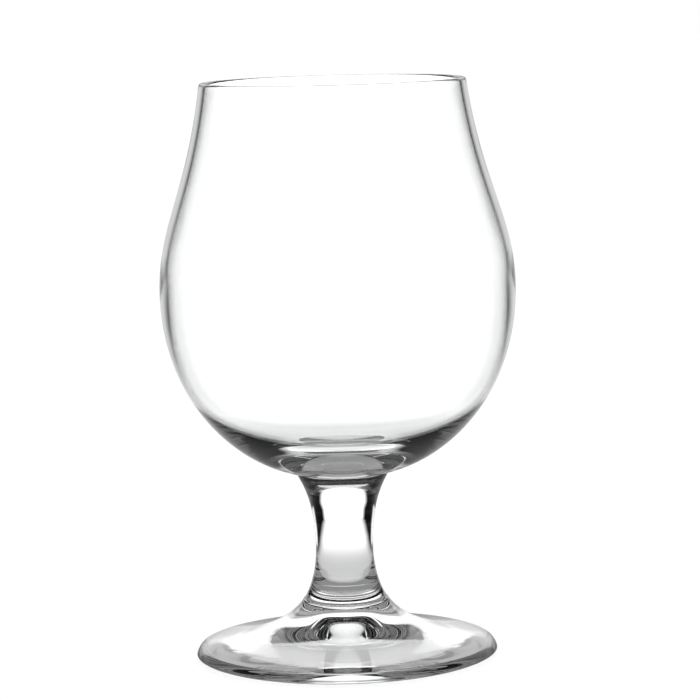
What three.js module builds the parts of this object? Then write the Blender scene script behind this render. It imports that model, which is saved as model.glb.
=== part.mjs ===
// Stemmed beer glass: a blown tulip bowl, a solid waisted stem and a pressed round foot, fused together.
// Millimetres, Z up; the glass stands on Z = 0 and turns about Z.
import * as THREE from "three";

// Whole glass: overall height, and the two flat weld faces where the pieces were fused while hot.
const HEIGHT = 152.4;
const BOWL_WELD = new THREE.Vector2(12.35, 49.1);
const FOOT_WELD = new THREE.Vector2(11.1, 15.2);
const FOOT_WELD_SLOPE = 54.7;

// Bowl, outside: widest at the belly, drawn in to a rim that leans towards the axis.
const BELLY = new THREE.Vector2(46.75, 97.65);
const BELLY_PULL_UP = 18.15;
const BELLY_PULL_DOWN = 26.2;
const BOWL_UNDER_SLOPE = 12;
const BOWL_UNDER_PULL = 18.5;

// Rim: fire-polished to a full round, as thick as the wall below it.
const RIM_MID_R = 34.1;
const RIM_ROUND = 0.85;
const RIM_LEAN = 7.7;
const RIM_PULL = 28;

// Bowl, inside: the wall is even above the belly, thinnest below it and thick again at the base.
const INSIDE_BELLY = new THREE.Vector2(44.8, 101);
const INSIDE_PULL_UP = 13;
const INSIDE_PULL_DOWN = 28;
const INSIDE_BOTTOM_Z = 53.1;
const INSIDE_BOTTOM_PULL = 37;

// Stem: a solid waist that flares up to the bowl and down to the foot.
const WAIST = new THREE.Vector2(7.6, 28.5);
const WAIST_PULL_UP = 12.7;
const WAIST_PULL_DOWN = 5.15;
const STEM_TOP_SLOPE = 62;
const STEM_TOP_PULL = 4.2;
const STEM_LOW_PULL = 3.3;

// Foot: a hub that runs out into a thin plate with a rounded edge.
const FOOT_R = 39.9;
const EDGE_Z = 1.2;
const EDGE_RUN = 3.6;
const EDGE_RUN_PULL = 1.3;
const SHOULDER = new THREE.Vector2(38.4, 3.35);
const SHOULDER_SLOPE = 10.4;
const SHOULDER_PULL = 0.7;
const EDGE_PULL = 0.4;
const HUB_PULL = 8.8;
const PLATE_PULL = 12.6;

// Hollow under the foot: a bell with a round crown and a wide skirt that runs out to a standing ring.
const CROWN_Z = 8.1;
const CROWN_PULL = 7;
const SKIRT = new THREE.Vector2(14.5, 4.05);
const SKIRT_SLOPE = 15;
const SKIRT_PULL_IN = 10;
const SKIRT_PULL_OUT = 12.8;
const STANDING_RING_WIDTH = 1.8;
const RING_PULL = 4;

// How finely the curves are cut.
const TURN_STEPS = 60;
const BOWL_STEPS = 11;
const STEM_STEPS = 9;
const FOOT_STEPS = 7;
const HALF_TURN = Math.PI;

// The point a given length away from another, in the direction of an angle in degrees above the horizontal.
function reach(from, length, degrees) {
  const turn = THREE.MathUtils.degToRad(degrees);
  return new THREE.Vector2(
    from.x + length * Math.cos(turn),
    from.y + length * Math.sin(turn),
  );
}

// Adds one smooth curve to an outline, given its two handles and its end.
function bend(outline, firstHandle, secondHandle, end) {
  outline.bezierCurveTo(firstHandle.x, firstHandle.y, secondHandle.x, secondHandle.y, end.x, end.y);
}

// Clear soda-lime glass.
function clearGlass() {
  return new THREE.MeshStandardMaterial({
    color: 0xe4e9ea,
    roughness: 0.04,
    metalness: 0,
    transparent: true,
    opacity: 0.35,
  });
}

// Turns a half outline about the axis into a named closed piece that stands along Z.
function turned(name, outline, steps) {
  const solid = new THREE.LatheGeometry(outline.getPoints(steps), TURN_STEPS);
  solid.rotateX(HALF_TURN / 2);
  const piece = new THREE.Mesh(solid, clearGlass());
  piece.name = name;
  return piece;
}

// Bowl: up the outside from the weld, over the rim and down the inside to the bottom of the cup.
function makeBowl() {
  const rimMid = new THREE.Vector2(RIM_MID_R, HEIGHT - RIM_ROUND);
  const rimOutside = reach(rimMid, RIM_ROUND, RIM_LEAN);
  const rimInside = reach(rimMid, -RIM_ROUND, RIM_LEAN);
  const downWall = RIM_LEAN - 90;
  const lean = THREE.MathUtils.degToRad(RIM_LEAN);
  const outline = new THREE.Path();
  outline.moveTo(0, BOWL_WELD.y);
  outline.lineTo(BOWL_WELD.x, BOWL_WELD.y);
  bend(
    outline,
    reach(BOWL_WELD, BOWL_UNDER_PULL, BOWL_UNDER_SLOPE),
    reach(BELLY, BELLY_PULL_DOWN, -90),
    BELLY,
  );
  bend(outline, reach(BELLY, BELLY_PULL_UP, 90), reach(rimOutside, RIM_PULL, downWall), rimOutside);
  outline.absarc(rimMid.x, rimMid.y, RIM_ROUND, lean, lean + HALF_TURN, false);
  bend(
    outline,
    reach(rimInside, RIM_PULL, downWall),
    reach(INSIDE_BELLY, INSIDE_PULL_UP, 90),
    INSIDE_BELLY,
  );
  bend(
    outline,
    reach(INSIDE_BELLY, INSIDE_PULL_DOWN, -90),
    new THREE.Vector2(INSIDE_BOTTOM_PULL, INSIDE_BOTTOM_Z),
    new THREE.Vector2(0, INSIDE_BOTTOM_Z),
  );
  return turned("bowl", outline, BOWL_STEPS);
}

// Stem: from the lower weld in to the waist and out again to the weld under the bowl.
function makeStem() {
  const outline = new THREE.Path();
  outline.moveTo(0, FOOT_WELD.y);
  outline.lineTo(FOOT_WELD.x, FOOT_WELD.y);
  bend(
    outline,
    reach(FOOT_WELD, STEM_LOW_PULL, 180 - FOOT_WELD_SLOPE),
    reach(WAIST, WAIST_PULL_DOWN, -90),
    WAIST,
  );
  bend(
    outline,
    reach(WAIST, WAIST_PULL_UP, 90),
    reach(BOWL_WELD, -STEM_TOP_PULL, STEM_TOP_SLOPE),
    BOWL_WELD,
  );
  outline.lineTo(0, BOWL_WELD.y);
  return turned("stem", outline, STEM_STEPS);
}

// Foot: out under the hollow to the standing ring, round the edge and up the plate to the hub.
function makeFoot() {
  const ringOutside = new THREE.Vector2(FOOT_R - EDGE_RUN, 0);
  const ringInside = new THREE.Vector2(ringOutside.x - STANDING_RING_WIDTH, 0);
  const edge = new THREE.Vector2(FOOT_R, EDGE_Z);
  const outline = new THREE.Path();
  outline.moveTo(0, CROWN_Z);
  bend(
    outline,
    new THREE.Vector2(CROWN_PULL, CROWN_Z),
    reach(SKIRT, SKIRT_PULL_IN, 180 - SKIRT_SLOPE),
    SKIRT,
  );
  bend(
    outline,
    reach(SKIRT, SKIRT_PULL_OUT, -SKIRT_SLOPE),
    reach(ringInside, RING_PULL, 180),
    ringInside,
  );
  outline.lineTo(ringOutside.x, ringOutside.y);
  bend(outline, reach(ringOutside, EDGE_RUN_PULL, 0), reach(edge, EDGE_PULL, -90), edge);
  bend(
    outline,
    reach(edge, EDGE_PULL, 90),
    reach(SHOULDER, SHOULDER_PULL, -SHOULDER_SLOPE),
    SHOULDER,
  );
  bend(
    outline,
    reach(SHOULDER, PLATE_PULL, 180 - SHOULDER_SLOPE),
    reach(FOOT_WELD, HUB_PULL, -FOOT_WELD_SLOPE),
    FOOT_WELD,
  );
  outline.lineTo(0, FOOT_WELD.y);
  return turned("foot", outline, FOOT_STEPS);
}

const glass = new THREE.Group();
glass.name = "beer_glass";
glass.add(makeBowl(), makeStem(), makeFoot());

export default glass;
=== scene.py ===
import math

import bpy
from mathutils import Matrix, Vector


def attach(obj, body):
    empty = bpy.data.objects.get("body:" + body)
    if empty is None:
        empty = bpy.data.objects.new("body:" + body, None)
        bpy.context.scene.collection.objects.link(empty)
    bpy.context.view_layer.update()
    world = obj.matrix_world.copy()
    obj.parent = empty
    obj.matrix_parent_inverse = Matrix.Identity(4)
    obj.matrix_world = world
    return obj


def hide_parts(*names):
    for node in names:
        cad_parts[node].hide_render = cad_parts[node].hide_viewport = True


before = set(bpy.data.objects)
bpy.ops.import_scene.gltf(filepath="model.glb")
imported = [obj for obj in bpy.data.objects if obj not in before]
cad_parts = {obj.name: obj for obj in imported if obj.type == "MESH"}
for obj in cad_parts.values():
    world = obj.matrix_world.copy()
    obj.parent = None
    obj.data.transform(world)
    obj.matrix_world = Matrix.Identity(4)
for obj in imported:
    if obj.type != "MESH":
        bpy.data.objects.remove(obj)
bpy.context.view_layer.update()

# Bowl: a tulip cup of clear soda-lime glass, blown in a mould. The wall is thin and even above the belly
# and thickens below it into a solid base, which is welded to the stem while hot. The rim is cut and
# fire-polished to a full round.
MM = 0.001
UP = 90
DOWN = -90
HEIGHT = 152.4
BOWL_WELD = Vector((12.35, 49.1))
BOWL_UNDER_SLOPE = 12.0
BOWL_UNDER_PULL = 18.5
BELLY = Vector((46.75, 97.65))
BELLY_PULL_DOWN = 26.2
BELLY_PULL_UP = 18.15
RIM_MID_R = 34.1
RIM_ROUND = 0.85
RIM_LEAN = 7.7
RIM_PULL = 28.0
INSIDE_BELLY = Vector((44.8, 101.0))
INSIDE_PULL_UP = 13.0
INSIDE_PULL_DOWN = 28.0
INSIDE_BOTTOM_Z = 53.1
INSIDE_BOTTOM_PULL = 37.0
QUARTER_ROUND = 0.5523
CURVE_STEPS = 40
TURN_STEPS = 240
FULL_TURN = 2 * math.pi
CREASE_ANGLE = math.radians(35)
MERGE_DISTANCE = 2e-7
GLASS_COLOUR = (0.99, 0.995, 0.995, 1)
GLASS_IOR = 1.52
RIPPLE_STRETCH = (1, 1, 2.5)
RIPPLE_DETAIL = 1.0
BOWL_RIPPLE_FINENESS = 40.0
BOWL_RIPPLE_DEPTH = 6e-6
LEVEL_FACE = 0.999
WELD_FACE_REACH = 0.01


def reach(start, length, degrees):
    """The point a length away from another, at an angle above the horizontal."""
    turn = math.radians(degrees)
    return start + length * Vector((math.cos(turn), math.sin(turn)))


def turned_glass(name, outline):
    """Turns a half outline about the axis into a closed piece.

    Each knot is a handle before, a point and a handle after, in millimetres. A straight run has no handle.
    """
    bpy.ops.object.select_all(action="DESELECT")
    bpy.ops.curve.primitive_bezier_curve_add(enter_editmode=False)
    piece = bpy.context.object
    piece.name = name
    piece.data.resolution_u = CURVE_STEPS
    spline = piece.data.splines[0]
    spline.bezier_points.add(len(outline) - len(spline.bezier_points))
    for knot, places in zip(spline.bezier_points, outline):
        knot.handle_left_type = "FREE" if places[0] else "VECTOR"
        knot.handle_right_type = "FREE" if places[2] else "VECTOR"
        before, middle, after = [Vector((p.x, 0, p.y)) * MM if p else None for p in places]
        knot.co = middle
        knot.handle_left = before or middle
        knot.handle_right = after or middle
    bpy.ops.object.convert(target="MESH")
    piece = bpy.context.object
    piece.data.name = name
    bpy.ops.object.mode_set(mode="EDIT")
    bpy.ops.mesh.select_all(action="SELECT")
    bpy.ops.mesh.spin(steps=TURN_STEPS, angle=FULL_TURN, center=(0, 0, 0), axis=(0, 0, 1))
    bpy.ops.mesh.select_all(action="SELECT")
    bpy.ops.mesh.remove_doubles(threshold=MERGE_DISTANCE)
    bpy.ops.mesh.dissolve_degenerate(threshold=MERGE_DISTANCE)
    bpy.ops.mesh.normals_make_consistent(inside=False)
    bpy.ops.object.mode_set(mode="OBJECT")
    bpy.ops.object.shade_smooth_by_angle(angle=CREASE_ANGLE)
    return piece


chill_ripple = bpy.data.node_groups.new("chill_ripple", "ShaderNodeTree")
chill_ripple.interface.new_socket("Place", in_out="INPUT", socket_type="NodeSocketVector")
chill_ripple.interface.new_socket("Fineness", in_out="INPUT", socket_type="NodeSocketFloat")
chill_ripple.interface.new_socket("Height", in_out="OUTPUT", socket_type="NodeSocketFloat")
ripple_in = chill_ripple.nodes.new("NodeGroupInput")
ripple_out = chill_ripple.nodes.new("NodeGroupOutput")
ripple_stretch = chill_ripple.nodes.new("ShaderNodeMapping")
ripple_stretch.inputs["Scale"].default_value = RIPPLE_STRETCH
ripple_waves = chill_ripple.nodes.new("ShaderNodeTexNoise")
ripple_waves.inputs["Detail"].default_value = RIPPLE_DETAIL
chill_ripple.links.new(ripple_in.outputs["Place"], ripple_stretch.inputs["Vector"])
chill_ripple.links.new(ripple_stretch.outputs["Vector"], ripple_waves.inputs["Vector"])
chill_ripple.links.new(ripple_in.outputs["Fineness"], ripple_waves.inputs["Scale"])
chill_ripple.links.new(ripple_waves.outputs["Fac"], ripple_out.inputs["Height"])


def clear_glass(name, fineness, depth):
    """Colourless soda-lime glass, with the faint ripples of a surface that set before the inside did."""
    material = bpy.data.materials.new(name)
    material.use_nodes = True
    nodes, links = material.node_tree.nodes, material.node_tree.links
    body = nodes["Principled BSDF"]
    place = nodes.new("ShaderNodeTexCoord")
    ripple = nodes.new("ShaderNodeGroup")
    ripple.node_tree = chill_ripple
    ripple.inputs["Fineness"].default_value = fineness
    bump = nodes.new("ShaderNodeBump")
    bump.inputs["Distance"].default_value = depth
    links.new(place.outputs["Object"], ripple.inputs["Place"])
    links.new(ripple.outputs["Height"], bump.inputs["Height"])
    links.new(bump.outputs["Normal"], body.inputs["Normal"])
    body.inputs["Base Color"].default_value = GLASS_COLOUR
    body.inputs["Roughness"].default_value = 0.0
    body.inputs["IOR"].default_value = GLASS_IOR
    body.inputs["Transmission Weight"].default_value = 1.0
    return material


weld_join = bpy.data.materials.new("weld_join")
weld_join.use_nodes = True
weld_join.node_tree.nodes["Principled BSDF"].inputs["Alpha"].default_value = 0.0


def give_glass(piece, glass, *weld_heights):
    """Gives a piece its glass, and its weld faces the clear join that light passes straight through."""
    piece.data.materials.clear()
    piece.data.materials.append(glass)
    piece.data.materials.append(weld_join)
    for face in piece.data.polygons:
        level = abs(face.normal.z) > LEVEL_FACE
        at_weld = any(abs(face.center.z - height * MM) < WELD_FACE_REACH * MM for height in weld_heights)
        face.material_index = 1 if level and at_weld else 0


rim_mid = Vector((RIM_MID_R, HEIGHT - RIM_ROUND))
rim_outside = reach(rim_mid, RIM_ROUND, RIM_LEAN)
rim_top = reach(rim_mid, RIM_ROUND, RIM_LEAN + UP)
rim_inside = reach(rim_mid, -RIM_ROUND, RIM_LEAN)
rim_pull = RIM_ROUND * QUARTER_ROUND
down_wall = RIM_LEAN + DOWN
bowl = turned_glass("bowl_glass", [
    (None, Vector((0, BOWL_WELD.y)), None),
    (None, BOWL_WELD, reach(BOWL_WELD, BOWL_UNDER_PULL, BOWL_UNDER_SLOPE)),
    (reach(BELLY, BELLY_PULL_DOWN, DOWN), BELLY, reach(BELLY, BELLY_PULL_UP, UP)),
    (reach(rim_outside, RIM_PULL, down_wall), rim_outside, reach(rim_outside, -rim_pull, down_wall)),
    (reach(rim_top, rim_pull, RIM_LEAN), rim_top, reach(rim_top, -rim_pull, RIM_LEAN)),
    (reach(rim_inside, -rim_pull, down_wall), rim_inside, reach(rim_inside, RIM_PULL, down_wall)),
    (
        reach(INSIDE_BELLY, INSIDE_PULL_UP, UP),
        INSIDE_BELLY,
        reach(INSIDE_BELLY, INSIDE_PULL_DOWN, DOWN),
    ),
    (Vector((INSIDE_BOTTOM_PULL, INSIDE_BOTTOM_Z)), Vector((0, INSIDE_BOTTOM_Z)), None),
])
bowl_clear = clear_glass("bowl_clear_glass", BOWL_RIPPLE_FINENESS, BOWL_RIPPLE_DEPTH)
give_glass(bowl, bowl_clear, BOWL_WELD.y)
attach(bowl, "root")
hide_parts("bowl")

# Stem: a solid waisted bar of clear pressed glass, thinnest below its middle, that flares up to the bowl
# and down to the foot. It is welded to both while hot, and the lower weld leaves a thin bead round it.
FOOT_WELD = Vector((11.1, 15.2))
FOOT_WELD_SLOPE = 54.7
WAIST = Vector((7.6, 28.5))
WAIST_PULL_UP = 12.7
WAIST_PULL_DOWN = 5.15
STEM_TOP_SLOPE = 62.0
STEM_TOP_PULL = 4.2
STEM_LOW_PULL = 3.3
INWARD = 180
BEAD_OUT = 0.14
BEAD_HALF = 0.35
STEM_RIPPLE_FINENESS = 160.0
STEM_RIPPLE_DEPTH = 12e-6

bead = FOOT_WELD + Vector((BEAD_OUT, 0))
bead_top = reach(FOOT_WELD, BEAD_HALF, INWARD - FOOT_WELD_SLOPE)
stem = turned_glass("stem_glass", [
    (None, Vector((0, FOOT_WELD.y)), None),
    (None, bead, None),
    (None, bead_top, reach(FOOT_WELD, STEM_LOW_PULL, INWARD - FOOT_WELD_SLOPE)),
    (reach(WAIST, WAIST_PULL_DOWN, DOWN), WAIST, reach(WAIST, WAIST_PULL_UP, UP)),
    (reach(BOWL_WELD, -STEM_TOP_PULL, STEM_TOP_SLOPE), BOWL_WELD, None),
    (None, Vector((0, BOWL_WELD.y)), None),
])
stem_clear = clear_glass("stem_clear_glass", STEM_RIPPLE_FINENESS, STEM_RIPPLE_DEPTH)
give_glass(stem, stem_clear, FOOT_WELD.y, BOWL_WELD.y)
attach(stem, "root")
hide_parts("stem")

# Foot: a round plate of clear pressed glass with a hub in the middle and a fire-polished edge. Underneath
# it is hollowed like a bell, so that it stands on a narrow flat ring. The hub is welded to the stem.
FOOT_R = 39.9
EDGE_Z = 1.2
EDGE_RUN = 3.6
EDGE_RUN_PULL = 1.3
EDGE_PULL = 0.4
SHOULDER = Vector((38.4, 3.35))
SHOULDER_SLOPE = 10.4
SHOULDER_PULL = 0.7
HUB_PULL = 8.8
PLATE_PULL = 12.6
STANDING_RING_WIDTH = 1.8
RING_PULL = 4.0
CROWN_Z = 8.1
CROWN_PULL = 7.0
SKIRT = Vector((14.5, 4.05))
SKIRT_SLOPE = 15.0
SKIRT_PULL_IN = 10.0
SKIRT_PULL_OUT = 12.8
OUTWARD = 0
FOOT_RIPPLE_FINENESS = 140.0
FOOT_RIPPLE_DEPTH = 14e-6

ring_outside = Vector((FOOT_R - EDGE_RUN, 0))
ring_inside = Vector((ring_outside.x - STANDING_RING_WIDTH, 0))
edge = Vector((FOOT_R, EDGE_Z))
bead_foot = reach(FOOT_WELD, BEAD_HALF, -FOOT_WELD_SLOPE)
foot = turned_glass("foot_glass", [
    (None, Vector((0, CROWN_Z)), Vector((CROWN_PULL, CROWN_Z))),
    (
        reach(SKIRT, SKIRT_PULL_IN, INWARD - SKIRT_SLOPE),
        SKIRT,
        reach(SKIRT, SKIRT_PULL_OUT, -SKIRT_SLOPE),
    ),
    (reach(ring_inside, RING_PULL, INWARD), ring_inside, None),
    (None, ring_outside, reach(ring_outside, EDGE_RUN_PULL, OUTWARD)),
    (reach(edge, EDGE_PULL, DOWN), edge, reach(edge, EDGE_PULL, UP)),
    (
        reach(SHOULDER, SHOULDER_PULL, -SHOULDER_SLOPE),
        SHOULDER,
        reach(SHOULDER, PLATE_PULL, INWARD - SHOULDER_SLOPE),
    ),
    (reach(FOOT_WELD, HUB_PULL, -FOOT_WELD_SLOPE), bead_foot, None),
    (None, bead, None),
    (None, Vector((0, FOOT_WELD.y)), None),
])
foot_clear = clear_glass("foot_clear_glass", FOOT_RIPPLE_FINENESS, FOOT_RIPPLE_DEPTH)
give_glass(foot, foot_clear, FOOT_WELD.y)
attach(foot, "root")
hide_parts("foot")

# Floor: a plain pale table top, matt and much larger than the glass. It looks white from afar and keeps a
# soft shadow round the foot. In the glass it shows as a white sweep of paper, with a dark room on either
# side and in front, and with a painted shadow that darkens it near the glass and fades out further away.
FLOOR_R = 6.0
FLOOR_SIDES = 96
FLOOR_DROP = 0.00015
FLOOR_COLOUR = (0.8, 0.8, 0.8, 1)
FLOOR_FILL = 0.23
WHITE = (1, 1, 1, 1)
SWEEP_PAINTED_SHADOW_LIGHT = 0.66
SWEEP_FAR_LIGHT = 1.6
SWEEP_NEAR = 0.05
SWEEP_FAR = 0.26
SWEEP_HALF_WIDTH = 0.056
SWEEP_SPREAD = 0.5
SWEEP_SOFTNESS = 0.42
SWEEP_FRONT = 0.046
SWEEP_FRONT_SOFTNESS = 0.01
DARK_TO = 60.0
DARK_TO_SOFTNESS = 6.0
ROOM_FLOOR_FROM = 0.11
ROOM_FLOOR_FULL = 0.2
DARK_LIGHT = 0.006
REFLECTED_LIGHT = 0.44
ROOM_REFLECTED_LIGHT = 0.12


def math_node(operation, *values):
    """One step of arithmetic on node values and plain numbers."""
    node = nodes.new("ShaderNodeMath")
    node.operation = operation
    for socket, value in zip(node.inputs, values):
        if isinstance(value, (int, float)):
            socket.default_value = value
        else:
            links.new(value, socket)
    return node.outputs[0]


def ramp(value, start, end, first, last):
    """A soft step from a first to a last level as the value goes from start to end."""
    node = nodes.new("ShaderNodeMapRange")
    node.interpolation_type = "SMOOTHSTEP"
    for socket, number in zip(("From Min", "From Max", "To Min", "To Max"), (start, end, first, last)):
        node.inputs[socket].default_value = number
    links.new(value, node.inputs["Value"])
    return node.outputs[0]


def fade_in(value, edge, softness):
    """Nothing before an edge and one beyond it."""
    return ramp(value, edge - softness, edge + softness, 0, 1)


def fade_out(value, edge, softness):
    """One before an edge and nothing beyond it."""
    return ramp(value, edge - softness, edge + softness, 1, 0)


def reflected_level(level):
    """One for what is only seen through the glass, and a lower level for what the glass reflects."""
    path = nodes.new("ShaderNodeLightPath")
    reflected = math_node("MINIMUM", path.outputs["Glossy Depth"], 1)
    return math_node("MULTIPLY_ADD", reflected, math_node("SUBTRACT", level, 1), 1)


def show_in_glass(plain, shown, output):
    """Shows one thing in and through the glass, and another to the eye and as light on the floor."""
    path = nodes.new("ShaderNodeLightPath")
    by_glass = math_node("MAXIMUM", path.outputs["Is Glossy Ray"], path.outputs["Is Transmission Ray"])
    view = nodes.new("ShaderNodeMixShader")
    before_floor = math_node("LESS_THAN", path.outputs["Diffuse Depth"], 1)
    links.new(math_node("MULTIPLY", by_glass, before_floor), view.inputs[0])
    links.new(plain.outputs[0], view.inputs[1])
    links.new(shown.outputs[0], view.inputs[2])
    links.new(view.outputs[0], output.inputs["Surface"])


bpy.ops.object.select_all(action="DESELECT")
bpy.ops.mesh.primitive_circle_add(
    vertices=FLOOR_SIDES, radius=FLOOR_R, fill_type="NGON", location=(0, 0, -FLOOR_DROP)
)
floor = bpy.context.object
floor.name = "floor"
floor_matt = bpy.data.materials.new("floor_matt")
floor_matt.use_nodes = True
nodes, links = floor_matt.node_tree.nodes, floor_matt.node_tree.links
table_top = nodes["Principled BSDF"]
table_top.inputs["Base Color"].default_value = FLOOR_COLOUR
table_top.inputs["Roughness"].default_value = 1.0
table_top.inputs["Specular IOR Level"].default_value = 0.0
table_top.inputs["Emission Color"].default_value = WHITE
to_the_eye = nodes.new("ShaderNodeLightPath").outputs["Is Camera Ray"]
links.new(math_node("MULTIPLY", to_the_eye, FLOOR_FILL), table_top.inputs["Emission Strength"])
floor_place = nodes.new("ShaderNodeTexCoord").outputs["Object"]
floor_axes = nodes.new("ShaderNodeSeparateXYZ")
links.new(floor_place, floor_axes.inputs[0])
floor_x, floor_y = floor_axes.outputs["X"], floor_axes.outputs["Y"]
from_glass = nodes.new("ShaderNodeVectorMath")
from_glass.operation = "LENGTH"
links.new(floor_place, from_glass.inputs[0])
distance = from_glass.outputs["Value"]
sweep_half = math_node("MULTIPLY_ADD", math_node("MAXIMUM", floor_y, 0), SWEEP_SPREAD, SWEEP_HALF_WIDTH)
across = math_node("DIVIDE", math_node("ABSOLUTE", floor_x), sweep_half)
on_sweep = math_node(
    "MULTIPLY",
    fade_out(across, 1, SWEEP_SOFTNESS),
    fade_in(floor_y, -SWEEP_FRONT, SWEEP_FRONT_SOFTNESS),
)
floor_aside = math_node("DEGREES", math_node("ABSOLUTE", math_node("ARCTAN2", floor_x, floor_y)))
room_floor = math_node(
    "MULTIPLY",
    fade_in(floor_aside, DARK_TO, DARK_TO_SOFTNESS),
    ramp(distance, ROOM_FLOOR_FROM, ROOM_FLOOR_FULL, 0, 1),
)
room_floor_shown = math_node("MULTIPLY", room_floor, reflected_level(ROOM_REFLECTED_LIGHT))
# Painted shadow: the floor seen in the glass is painted darker near the glass and brighter further out.
floor_painted_shadow = ramp(distance, SWEEP_NEAR, SWEEP_FAR, SWEEP_PAINTED_SHADOW_LIGHT, SWEEP_FAR_LIGHT)
floor_lit = math_node("MULTIPLY", math_node("MAXIMUM", on_sweep, room_floor_shown), floor_painted_shadow)
floor_light = math_node(
    "MULTIPLY",
    math_node("MAXIMUM", floor_lit, DARK_LIGHT),
    reflected_level(REFLECTED_LIGHT),
)
sweep = nodes.new("ShaderNodeEmission")
sweep.inputs["Color"].default_value = WHITE
links.new(floor_light, sweep.inputs["Strength"])
show_in_glass(table_top, sweep, nodes["Material Output"])
floor.data.materials.append(floor_matt)

# Studio: an even soft light for the floor. In the glass it shows as a white backdrop, rounded at the top
# and a little wider above than below, with dark sides and the white walls of the room beyond them.
PANEL_HALF_WIDTH = 28.5
PANEL_HALF_WIDTH_ABOVE = 32.0
PANEL_WIDENS_FROM = 5.0
PANEL_WIDENS_TO = 13.0
PANEL_TOP = 45.0
PANEL_POWER = 2.0
PANEL_SOFTNESS = 0.3
BACKDROP_LIGHT = 1.45
ROOM_WALL_TOP = 14.0
ROOM_WALL_SOFTNESS = 2.0
ROOM_LIGHT = 1.0

world = bpy.data.worlds.new("studio")
bpy.context.scene.world = world
world.use_nodes = True
nodes, links = world.node_tree.nodes, world.node_tree.links
nodes.clear()
sky_axes = nodes.new("ShaderNodeSeparateXYZ")
links.new(nodes.new("ShaderNodeTexCoord").outputs["Generated"], sky_axes.inputs[0])
azimuth = math_node("ARCTAN2", sky_axes.outputs["X"], sky_axes.outputs["Y"])
aside = math_node("DEGREES", math_node("ABSOLUTE", azimuth))
above = math_node("DEGREES", math_node("ARCSINE", sky_axes.outputs["Z"]))
panel_half = ramp(above, PANEL_WIDENS_FROM, PANEL_WIDENS_TO, PANEL_HALF_WIDTH, PANEL_HALF_WIDTH_ABOVE)
panel_across = math_node("POWER", math_node("DIVIDE", aside, panel_half), PANEL_POWER)
panel_height = math_node("DIVIDE", math_node("MAXIMUM", above, 0), PANEL_TOP)
panel_reach = math_node("ADD", panel_across, math_node("POWER", panel_height, PANEL_POWER))
panel = fade_out(panel_reach, 1, PANEL_SOFTNESS)
room_wall = math_node(
    "MULTIPLY",
    fade_in(aside, DARK_TO, DARK_TO_SOFTNESS),
    fade_out(above, ROOM_WALL_TOP, ROOM_WALL_SOFTNESS),
)
room_wall_shown = math_node("MULTIPLY", room_wall, reflected_level(ROOM_REFLECTED_LIGHT))
backdrop_lit = math_node("MULTIPLY", math_node("MAXIMUM", panel, room_wall_shown), BACKDROP_LIGHT)
low_reflected = ramp(above, PANEL_WIDENS_FROM, PANEL_WIDENS_TO, REFLECTED_LIGHT, 1)
backdrop_light = math_node(
    "MULTIPLY",
    math_node("MAXIMUM", backdrop_lit, DARK_LIGHT),
    reflected_level(low_reflected),
)
backdrop = nodes.new("ShaderNodeBackground")
backdrop.inputs["Color"].default_value = WHITE
links.new(backdrop_light, backdrop.inputs["Strength"])
soft_light = nodes.new("ShaderNodeBackground")
soft_light.inputs["Color"].default_value = WHITE
soft_light.inputs["Strength"].default_value = ROOM_LIGHT
show_in_glass(soft_light, backdrop, nodes.new("ShaderNodeOutputWorld"))

# Camera: in front of the glass and a little above its rim, with a long lens, and held so that the glass
# leans a touch. Light is followed through every wall of the glass, and nothing in it is blurred.
CAMERA_PLACE = Vector((0, -0.835, 0.184))
CAMERA_LEVEL = 90.0
CAMERA_DOWN = 7.006
CAMERA_ROLL = -1.535
CAMERA_SHIFT = 0.0153
LENS = 164.3
SENSOR_WIDTH = 36.0
LIGHT_BOUNCES = 40

camera_data = bpy.data.cameras.new("camera")
camera_data.lens = LENS
camera_data.sensor_width = SENSOR_WIDTH
camera_data.shift_x = CAMERA_SHIFT
camera = bpy.data.objects.new("camera", camera_data)
tilt = Matrix.Rotation(math.radians(CAMERA_LEVEL - CAMERA_DOWN), 4, "X")
roll = Matrix.Rotation(math.radians(CAMERA_ROLL), 4, "Z")
camera.location = CAMERA_PLACE
camera.rotation_euler = (tilt @ roll).to_euler()
scene = bpy.context.scene
scene.collection.objects.link(camera)
scene.camera = camera
scene.view_settings.view_transform = "Standard"
scene.cycles.max_bounces = LIGHT_BOUNCES
scene.cycles.transmission_bounces = LIGHT_BOUNCES
scene.cycles.glossy_bounces = LIGHT_BOUNCES
scene.cycles.transparent_max_bounces = LIGHT_BOUNCES
scene.cycles.blur_glossy = 0.0
